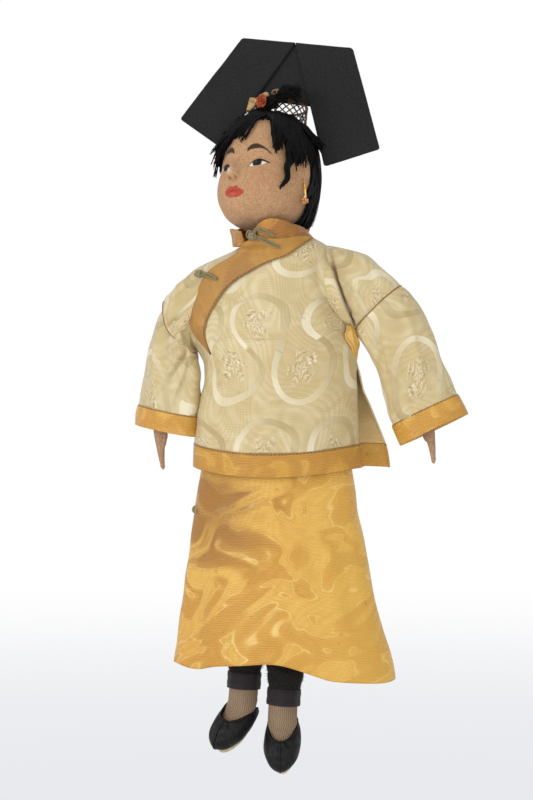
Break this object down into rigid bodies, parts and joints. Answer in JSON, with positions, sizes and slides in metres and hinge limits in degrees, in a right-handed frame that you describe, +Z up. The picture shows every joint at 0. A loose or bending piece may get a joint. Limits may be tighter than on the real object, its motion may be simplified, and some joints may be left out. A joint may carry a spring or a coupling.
{
  "type": "cloth doll",
  "caption": "Cloth doll with a stuffed body, board headdress, silk jacket and watered-silk skirt; head, arms, legs and feet turn at sewn joints.",
  "frame": {"origin": "middle of the waist, where the ring of a doll stand holds the doll", "axes": "+Z up through the head, the doll faces -Y, +X is its own left"},
  "size_m": [0.1797, 0.076, 0.3884],
  "materials": {
    "muslin": "plain cotton over stuffing",
    "face_cloth": "felted tan cloth with painted features",
    "hair": "black silk floss",
    "headdress_cloth": "black ribbed cloth over card",
    "net_wire": "brown wrapped wire",
    "petal": "orange-red stiffened cloth",
    "bamboo": "split bamboo",
    "ivory_damask": "ivory silk damask",
    "gold_silk": "gold watered silk",
    "green_cord": "pale green cord",
    "black_wool": "fuzzy black cloth",
    "ribbon": "dark ribbed ribbon",
    "stocking": "ribbed beige knit",
    "shoe_leather": "soft black leather",
    "sole": "cream sole",
    "gilt_wire": "polished gilt wire",
    "bead_glass": "orange glass and pearl beads"
  },
  "bodies": {
    "torso": {"torso": "muslin", "jacket_front": "ivory_damask", "jacket_back": "ivory_damask", "hem_band_front": "gold_silk", "hem_band_back": "gold_silk", "lapel_facing": "gold_silk", "collar": "gold_silk", "frog_collar": "green_cord", "frog_chest": "green_cord", "skirt": "gold_silk", "skirt_waistband": "gold_silk", "frog_skirt": "green_cord", "trouser_seat": "black_wool"},
    "neck": {"neck": "muslin"},
    "head": {"head": "face_cloth", "hair_cap": "hair", "hair_back": "hair", "hair_fringe": "hair", "left_side_lock": "hair", "right_side_lock": "hair", "hair_tuft": "hair", "hair_flower": "petal", "hair_comb": "bamboo", "headdress_left_wing": "headdress_cloth", "headdress_right_wing": "headdress_cloth", "headdress_backing": "headdress_cloth", "headdress_net": "net_wire"},
    "left_earring": {"left_earring_hook": "gilt_wire", "left_earring_beads": "bead_glass"},
    "left_upper_arm": {"left_upper_arm": "muslin", "left_sleeve_upper": "ivory_damask"},
    "left_forearm": {"left_forearm": "muslin", "left_hand": "face_cloth", "left_sleeve_lower": "ivory_damask", "left_cuff": "gold_silk"},
    "left_leg": {"left_leg": "muslin", "left_trouser_leg": "black_wool", "left_ankle_band": "ribbon"},
    "left_foot": {"left_foot": "stocking", "left_shoe": "shoe_leather", "left_shoe_sole": "sole"},
    "right_earring": {"right_earring_hook": "gilt_wire", "right_earring_beads": "bead_glass"},
    "right_upper_arm": {"right_upper_arm": "muslin", "right_sleeve_upper": "ivory_damask"},
    "right_forearm": {"right_forearm": "muslin", "right_hand": "face_cloth", "right_sleeve_lower": "ivory_damask", "right_cuff": "gold_silk"},
    "right_leg": {"right_leg": "muslin", "right_trouser_leg": "black_wool", "right_ankle_band": "ribbon"},
    "right_foot": {"right_foot": "stocking", "right_shoe": "shoe_leather", "right_shoe_sole": "sole"}
  },
  "joints": [
    {"name": "head_turn", "type": "hinge", "parent": "torso", "child": "neck", "pos_m": [-0.005, 0.003, 0.08], "axis": [0, 0, 1], "range_deg": [-35, 80]},
    {"name": "head_nod", "type": "hinge", "parent": "neck", "child": "head", "pos_m": [-0.005, 0.003, 0.087], "axis": [0.9063, -0.4226, 0], "range_deg": [-8, 16]},
    {"name": "left_shoulder", "type": "hinge", "parent": "torso", "child": "left_upper_arm", "pos_m": [0.0315, 0, 0.05], "axis": [0, -1, 0], "range_deg": [-6, 60], "deforming": ["left_sleeve_upper"]},
    {"name": "right_shoulder", "type": "hinge", "parent": "torso", "child": "right_upper_arm", "pos_m": [-0.0315, 0, 0.05], "axis": [0, 1, 0], "range_deg": [0, 60], "deforming": ["right_sleeve_upper"]},
    {"name": "left_elbow", "type": "hinge", "parent": "left_upper_arm", "child": "left_forearm", "pos_m": [0.0544, 0, 0.03569], "axis": [-0.9026, 0, -0.4305], "range_deg": [0, 50], "deforming": ["left_sleeve_lower"]},
    {"name": "right_elbow", "type": "hinge", "parent": "right_upper_arm", "child": "right_forearm", "pos_m": [-0.0544, 0, 0.03569], "axis": [-0.9877, 0, 0.1564], "range_deg": [0, 50], "deforming": ["right_sleeve_lower"]},
    {"name": "left_hip", "type": "hinge", "parent": "torso", "child": "left_leg", "pos_m": [0.0115, 0, -0.05], "axis": [-1, 0, 0], "range_deg": [-10, 12]},
    {"name": "right_hip", "type": "hinge", "parent": "torso", "child": "right_leg", "pos_m": [-0.0115, 0, -0.05], "axis": [-1, 0, 0], "range_deg": [-10, 12]},
    {"name": "left_ankle", "type": "hinge", "parent": "left_leg", "child": "left_foot", "pos_m": [0.004, -0.00416, -0.16919], "axis": [-0.9903, -0.139, -0.002], "range_deg": [-8, 55]},
    {"name": "right_ankle", "type": "hinge", "parent": "right_leg", "child": "right_foot", "pos_m": [-0.01733, -0.00389, -0.16128], "axis": [-0.877, 0.354, 0.325], "range_deg": [-8, 55]},
    {"name": "left_earring_swing", "type": "hinge", "parent": "head", "child": "left_earring", "pos_m": [0.0166, -0.00843, 0.10705], "axis": [0.9063, -0.4226, 0], "range_deg": [-30, 14]},
    {"name": "right_earring_swing", "type": "hinge", "parent": "head", "child": "right_earring", "pos_m": [-0.02817, 0.01142, 0.1006], "axis": [0.9063, -0.4226, 0], "range_deg": [-30, 14]}
  ]
}
